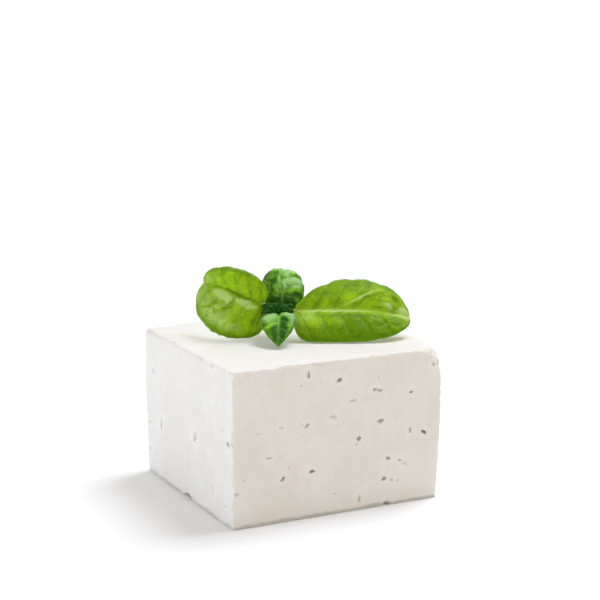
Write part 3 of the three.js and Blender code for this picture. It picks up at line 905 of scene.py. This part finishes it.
def veinStrength(leaf, share, side, number):
    # side veins fade towards the midrib, the margin, the base and the tip, and no two are the same
    out = np.abs(side)
    strength = np.minimum(sprig["veinOnset"] * out, 1) * np.clip(sprig["veinEnd"] * (1 - out), 0, 1) ** 0.6
    strength = strength * np.sin(math.pi * share) ** 0.3
    perVein, perLeaf, perSide, spread = sprig["veinDraw"]
    drawn = np.sin(perVein * (number + 1) + perLeaf * leaf["seed"] + perSide * (side > 0)) * spread
    faintest = sprig["faintestVein"]
    return strength * (faintest + (1 - faintest) * (drawn - np.floor(drawn)))


def quiltAt(leaf, flat, share, out):
    # cushions between the veins, and finer crinkles towards the tip
    seed = leaf["seed"]
    coarse, fine = sprig["quiltSizes"]
    quilt = leaf["quilt"] * (wander(flat, coarse, seed) + sprig["quiltFine"] * wander(flat, fine, seed + 9))
    crinkled = smoothStep((share.ravel() - sprig["crinkleStart"]) / sprig["crinkleRun"])
    quilt += leaf["crinkle"] * crinkled * wander(flat, sprig["crinkleSize"], seed + 4)
    quilt = quilt.reshape(share.shape) * np.minimum(sprig["quiltOnset"] * out, 1)
    return quilt * np.sin(math.pi * share) ** 0.5


def paintedLightAt(leaf, flat, share, side):
    # painted highlights and painted shade, as pale and dark patches with wandering outlines
    size, seed = sprig["straySize"], leaf["seed"]
    share = share + leaf["stray"] * wander(flat, size, seed + 20).reshape(share.shape)
    side = side + sprig["straySide"] * leaf["stray"] * wander(flat, size, seed + 30).reshape(share.shape)
    paintedLight = np.zeros(share.shape)
    for atShare, atSide, long, wide, strength, slant in leaf["paintedLightPatches"]:
        off = share - atShare
        paintedLight += strength * np.exp(-(off / long) ** 2 - ((side - atSide - slant * off) / wide) ** 2)
    return paintedLight


def bladeMesh(leaf):
    rows, columns = leaf["grid"]
    share = (1 - np.cos(math.pi * np.linspace(0, 1, rows + 1))) / 2
    side = np.linspace(-1, 1, columns + 1)
    share, side = np.meshgrid(share, side, indexing="ij")
    points, distance, toVein, number = bladeGrid(leaf, share, side)
    out, flat, normals = np.abs(side), points.reshape(-1, 3), gridNormals(points)
    midrib = np.exp(-(distance / sprig["midribWidth"]) ** 2) * (1 - sprig["midribFade"] * share)
    lateral = np.exp(-(toVein / sprig["veinWidth"]) ** 2) * veinStrength(leaf, share, side, number)
    quilt = quiltAt(leaf, flat, share, out)
    paintedLight = paintedLightAt(leaf, flat, share, side)
    raised = quilt - sprig["veinDepth"] * lateral - sprig["midribGroove"] * midrib
    upper = layDown(points + normals * raised[..., None])
    thick = sprig["thickness"] * (1 - sprig["marginThinning"] * out ** 8)
    thick = thick + sprig["midribDepth"] * midrib + sprig["veinRidge"] * lateral
    lower = upper - normals * thick[..., None]
    # painted light on the crests of the cushions, painted shade in their hollows and along the veins
    crest = sprig["crestGain"] * quilt + np.minimum(toVein / 2, 1) - 0.5
    marks = {
        "vein": np.tile(np.maximum(sprig["veinMark"] * lateral, leaf["rib"] * midrib).ravel(), 2),
        "margin": np.tile(out.ravel(), 2),
        # painted highlights above 0 and painted shade below
        "paintedLight": np.tile(paintedLight.ravel(), 2),
        "crest": np.tile(crest.ravel(), 2),
        "under": np.concatenate([np.zeros(share.size), np.ones(share.size)]),
    }
    faces = bladeFaces(np.arange(share.size).reshape(share.shape), share.size)
    return np.concatenate([upper.reshape(-1, 3), lower.reshape(-1, 3)]), faces, marks


def bladeFaces(ids, below):
    # the quads of both faces and of the margins between them
    def quads(a, b, c, d):
        return np.stack([a.ravel(), b.ravel(), c.ravel(), d.ravel()], -1)

    under = ids + below
    top = quads(ids[:-1, :-1], ids[1:, :-1], ids[1:, 1:], ids[:-1, 1:])
    bottom = quads(under[:-1, :-1], under[:-1, 1:], under[1:, 1:], under[1:, :-1])
    first = quads(ids[:-1, 0], under[:-1, 0], under[1:, 0], ids[1:, 0])
    last = quads(ids[:-1, -1], ids[1:, -1], under[1:, -1], under[:-1, -1])
    return np.concatenate([top, bottom, first, last])


def smoothPath(points, steps):
    # a smooth curve through the points
    points = np.asarray(points, float)
    padded = np.concatenate([[2 * points[0] - points[1]], points, [2 * points[-1] - points[-2]]])
    path = []
    for number in range(len(points) - 1):
        a, b, c, d = padded[number:number + 4]
        for t in np.linspace(0, 1, steps, endpoint=False):
            path.append(0.5 * (2 * b + (c - a) * t + (2 * a - 5 * b + 4 * c - d) * t ** 2
                               + (3 * b - a - 3 * c + d) * t ** 3))
    return np.array(path + [points[-1]])


def stalkMesh(path, radii, sides, section):
    # a stalk along a path: section gives the reach at each angle, and both ends are closed
    aside = (0.3, 0.2, 1)  # no stalk runs this way
    runs = np.gradient(path, axis=0)
    runs /= np.linalg.norm(runs, axis=1)[:, None]
    angles = np.linspace(0, 2 * math.pi, sides, endpoint=False)
    reach = section(angles)
    rings = []
    for place, run, radius in zip(path, runs, radii):
        first = unit(np.cross(run, aside))
        second = np.cross(run, first)
        ring = np.cos(angles)[:, None] * first + np.sin(angles)[:, None] * second
        rings.append(place + radius * reach[:, None] * ring)
    points = np.concatenate(rings + [[path[0]], [path[-1]]])
    faces = []
    for i in range(len(path) - 1):
        for j in range(sides):
            k = (j + 1) % sides
            faces.append((i * sides + j, i * sides + k, (i + 1) * sides + k, (i + 1) * sides + j))
    end = (len(path) - 1) * sides
    faces += [(len(points) - 2, (j + 1) % sides, j) for j in range(sides)]
    faces += [(len(points) - 1, end + j, end + (j + 1) % sides) for j in range(sides)]
    return points, faces


def roundSection(angles):
    return np.ones_like(angles)


def addLeaf(name, leaf):
    points, faces, marks = bladeMesh(leaf)
    path = smoothPath(leaf["petiole"], sprig["petioleSteps"])
    places, shares = zip(*sprig["petioleTaper"])
    radii = sprig["petioleRadius"] * np.interp(np.linspace(0, 1, len(path)), places, shares)
    stalk, stalkFaces = stalkMesh(path, radii, sprig["petioleSides"], roundSection)
    for key, values in marks.items():
        marks[key] = np.concatenate([values, np.full(len(stalk), sprig["petioleMarks"].get(key, 0.0))])
    faces = faces.tolist() + [[corner + len(points) for corner in face] for face in stalkFaces]
    thing = addObject(name, sprigToBlock(np.concatenate([points, stalk])), faces, marks)
    cleanMesh(thing, sprig["closeness"])
    return thing


stem = {
    "path": ((0, 1.6, -1.8), (0.1, 3.2, -4.3), (0.3, 6.6, -8.6), (0.5, 10.6, -10.9), (0.6, 15, -11.2)),
    "steps": 12,
    "sides": 24,
    "radius": 1.15,
    "flare": 0.12,  # how much thicker it is where the leaves leave it
    "flareReach": 0.06,
    "squareness": 0.16,
    "squarePower": 1.5,
    "dark": (0.2, 0.34, 0.06),
    "light": (0.36, 0.48, 0.14),
    "shine": 0.4,
}


def squareSection(angles):
    return 1 + stem["squareness"] * np.abs(np.sin(2 * angles)) ** stem["squarePower"]


def addStem():
    path = smoothPath(stem["path"], stem["steps"])
    along = np.linspace(0, 1, len(path))
    radii = stem["radius"] * (1 + stem["flare"] * np.exp(-(along / stem["flareReach"]) ** 2))
    points, faces = stalkMesh(path, radii, stem["sides"], squareSection)
    return addObject("stem", sprigToBlock(points), faces)


# Bud: leaflets with their turn round the tip, size, how far out they stand and how far they lean
bud = {
    "place": (0.1, -3.0, 1.2),
    "seed": 70,
    "core": 1.9,
    "coreRoughness": 0.1,
    "roughness": 0.06,
    "grooveDepth": 0.35,  # along the back of each leaflet
    "grooveWidth": 0.14,
    "footWidth": 1.15,
    "taper": 0.7,
    "taperStart": 0.1,
    # dark and light are near black: painted shade of the pocket between the young leaves, on the bud that
    # fills it
    "dark": (0.003, 0.035, 0.003),
    "light": (0.035, 0.15, 0.012),
    "shine": 0.08,
    "leaflets": (
        (10, (3.2, 4.4, 8.4), 2.7, 70),
        (88, (1.8, 6.2, 5.4), 1.1, 12),
        (172, (5.0, 4.8, 10.0), 3.2, 81),
        (267, (1.8, 5.0, 4.4), 1.0, 30),
        (-14, (3.0, 4.2, 8.0), 3.3, 117),
        (196, (3.6, 4.4, 9.6), 4.0, 113),
    ),
}


def addBud():
    parts = [blob((2 * bud["core"],) * 3, bud["seed"], bud["coreRoughness"])]
    for number, (turn, size, out, lean) in enumerate(bud["leaflets"]):
        points, faces = blob((1, 1, 1), bud["seed"] + 1 + number, bud["roughness"])
        x, y, z = points.T
        groove = bud["grooveDepth"] * np.exp(-(y / bud["grooveWidth"]) ** 2) * (x < 0)
        points[:, 0] *= 1 - groove
        points[:, :2] *= (bud["footWidth"] - bud["taper"] * np.clip(z + bud["taperStart"], 0, 1))[:, None]
        points = turned(points * np.array(size), 1, lean) + [out, 0, 0]
        parts.append((turned(points, 2, turn), faces))
    points, faces = [], []
    for part, mesh in parts:
        faces += [[corner + sum(map(len, points)) for corner in face] for face in mesh]
        points.append(part)
    points = sprigToBlock(np.concatenate(points) + bud["place"])
    return addObject("bud", points, faces)


leafLooks = {
    # deep is the leaf's own dark green and also its painted shade, fresh a lighter green and also the painted
    # light on the crests, pale the painted highlights and sheen and the pale vein lines
    "large": {"deep": (0.105, 0.24, 0.0), "main": (0.286, 0.516, 0.002), "fresh": (0.44, 0.68, 0.012),
              "pale": (0.56, 0.74, 0.24), "vein": (0.5, 0.7, 0.08)},
    "young": {"deep": (0.012, 0.085, 0.002), "main": (0.17, 0.47, 0.006), "fresh": (0.36, 0.68, 0.05),
              "pale": (0.43, 0.73, 0.28), "vein": (0.32, 0.62, 0.14)},
    "under": (0.4, 0.54, 0.24),
    "broadSize": 9,
    "mottleSize": 1.6,
    "fleckSize": 0.8,
    "cells": 900,  # of the fine net of veins, in a metre
    "mottleShare": 0.45,
    "fleckShare": 0.35,
    "netShare": 0.1,
    "underShare": 0.72,
    "veinShare": 0.62,
}


def leafPaint(kind):
    looks = leafLooks[kind]
    paint = Paint(bpy.data.materials.new("basil_" + kind))
    places, vein, under = paint.places(), paint.mark("vein"), paint.mark("under")
    margin, paintedLight, crest = paint.mark("margin"), paint.mark("paintedLight"), paint.mark("crest")
    broad = paint.cloud(places, leafLooks["broadSize"], detail=3, roughness=0.55)
    mottle = paint.cloud(places, leafLooks["mottleSize"], detail=4, roughness=0.6, seed=1)
    fleck = paint.cloud(places, leafLooks["fleckSize"], detail=2, roughness=0.5, seed=3)
    inputs = {"Vector": places, "Scale": leafLooks["cells"]}
    cells = paint.node("ShaderNodeTexVoronoi", {"feature": "DISTANCE_TO_EDGE"}, inputs, "Distance")
    net = paint.between(cells, 0.0, 0.16, 1.0, 0.0)
    colour = paint.blend(paint.between(broad, 0.32, 0.66, 0.1, 1.0), looks["deep"], looks["main"])
    colour = paint.blend(paint.between(mottle, 0.42, 0.8) * leafLooks["mottleShare"], colour, looks["fresh"])
    colour = paint.blend(paint.between(fleck, 0.5, 0.7) * leafLooks["fleckShare"], colour, looks["fresh"])
    colour = paint.blend(paint.between(fleck, 0.3, 0.5, 0.4, 0.0), colour, looks["deep"])
    colour = paint.blend(net * leafLooks["netShare"], colour, looks["vein"])
    # painted light on the crests, painted shade in the hollows
    colour = paint.blend(paint.between(crest, 0.0, 1.1, 0.0, 0.5), colour, looks["fresh"])
    colour = paint.blend(paint.between(crest, -0.9, 0.05, 0.7, 0.0), colour, looks["deep"])
    # painted highlights and sheen where the mark is above 0, painted shade where it is below
    lit = paintedLight * paint.between(mottle, 0.3, 0.6, 0.55, 1.0)
    colour = paint.blend(paint.between(lit, 0.0, 1.0, 0.0, 0.75), colour, looks["pale"])
    colour = paint.blend(paint.between(lit, -1.0, 0.0, 0.9, 0.0), colour, looks["deep"])
    colour = paint.blend(under * leafLooks["underShare"], colour, leafLooks["under"])
    colour = paint.blend(vein * leafLooks["veinShare"], colour, looks["vein"])
    colour = paint.blend(paint.between(margin, 0.7, 0.95, 0.0, 0.55), colour, looks["deep"])
    colour = paint.blend(paint.between(margin, 0.96, 1.0, 0.0, 0.6), colour, leafLooks["under"])
    relief = paint.bump(mottle + fleck * 0.6, strength=0.6, distance=0.45)
    relief = paint.bump(net, strength=0.25, distance=-0.12, under=relief)
    paint.set(Base_Color=colour, Normal=relief)
    paint.set(Roughness=paint.between(mottle, 0.2, 0.8, 0.34, 0.48) + under * 0.25)
    paint.set(Subsurface_Weight=0.2, Subsurface_Radius=(0.5, 1.0, 0.1), Subsurface_Scale=0.8 * mm)
    paint.set(Specular_IOR_Level=0.08)
    return paint.owner


def stalkPaint(name, piece):
    paint = Paint(bpy.data.materials.new(name))
    mottle = paint.cloud(paint.places(), size=1.4, detail=4, roughness=0.6)
    colour = paint.blend(paint.between(mottle, 0.3, 0.7), piece["dark"], piece["light"])
    paint.set(Base_Color=colour, Normal=paint.bump(mottle, strength=0.3, distance=0.2))
    paint.set(Roughness=paint.between(mottle, 0.2, 0.8, 0.35, 0.5))
    paint.set(Subsurface_Weight=0.3, Subsurface_Radius=(0.5, 1.0, 0.2), Subsurface_Scale=1.0 * mm)
    paint.set(Specular_IOR_Level=piece["shine"])
    return paint.owner


# Studio: a pale floor, bright surroundings that are dimmer on the camera's side, and soft suns
studio = {
    "floorColour": (0.955, 0.95, 0.94),
    "floorRoughness": 0.9,
    "floorShine": 0.1,
    "floorSize": 120.0,  # in metres
    "behind": (1.06, 1.06, 1.06),  # light of the surroundings behind the object
    "before": (0.55, 0.503, 0.434),  # and everywhere else
    "spread": (0.3, 0.97),  # from where to where one turns into the other: 1 is straight behind
    "suns": (
        # name, where from, softness in degrees, strength, colour
        ("top", (0.5, 0.1, 1.0), 30, 1.6, (1, 1.07, 1.23)),
        ("left", (-1.0, 0.05, 0.34), 40, 0.55, (0.98, 1.27, 1.75)),
    ),
}


def addFloor():
    reach = studio["floorSize"] / 2 / mm
    corners = [(-reach, -reach, 0), (reach, -reach, 0), (reach, reach, 0), (-reach, reach, 0)]
    floor = addObject("floor", corners, [(0, 1, 2, 3)])
    paint = Paint(bpy.data.materials.new("floor"))
    paint.set(Base_Color=(*studio["floorColour"], 1), Roughness=studio["floorRoughness"])
    paint.set(Specular_IOR_Level=studio["floorShine"])
    floor.data.materials.append(paint.owner)


def addLights():
    for name, origin, softness, strength, colour in studio["suns"]:
        lamp = bpy.data.lights.new(name, "SUN")
        lamp.angle = math.radians(softness)
        lamp.energy = strength
        lamp.color = colour
        holder = bpy.data.objects.new(name, lamp)
        holder.rotation_euler = Vector(origin).to_track_quat("Z", "Y").to_euler()
        bpy.context.scene.collection.objects.link(holder)


def addSurroundings():
    sky = Paint(bpy.data.worlds.new("surroundings"), "Background")
    bpy.context.scene.world = sky.owner
    turn = math.radians(camera["azimuth"])
    inputs = {0: sky.places("Generated"), 1: (-math.sin(turn), math.cos(turn), 0)}
    behind = sky.node("ShaderNodeVectorMath", {"operation": "DOT_PRODUCT"}, inputs, "Value")
    sky.set(Color=sky.blend(sky.between(behind, *studio["spread"]), studio["before"], studio["behind"]))


addCamera()
addSurroundings()
addLights()
addFloor()
bpy.context.scene.view_settings.view_transform = "Standard"
print("studio ready")

cheesePiece = addCheese()
dress(cheesePiece, "cheese_block", "cheese", cheesePaint())
print("cheese cut:", len(cheesePiece.data.polygons), "faces")

largePaint, youngPaint = leafPaint("large"), leafPaint("young")
leafPieces = {
    "basil_leaf_right": ("leaf_right", largeRight, "basil_large_leaf", largePaint),
    "basil_leaf_left": ("leaf_left", largeLeft, "basil_large_leaf", largePaint),
    "basil_leaf_upper": ("leaf_upper", youngUpper, "basil_young_leaf", youngPaint),
    "basil_leaf_lower": ("leaf_lower", youngLower, "basil_young_leaf", youngPaint),
}
for node, (name, leaf, slotName, paint) in leafPieces.items():
    dress(addLeaf(name, leaf), node, slotName, paint)
print("leaves laid")

dress(addStem(), "basil_stem", "basil_stem", stalkPaint("basil_stalk", stem))
dress(addBud(), "basil_bud", "basil_bud", stalkPaint("basil_tip_painted_shade", bud))
print("stem and bud ready")
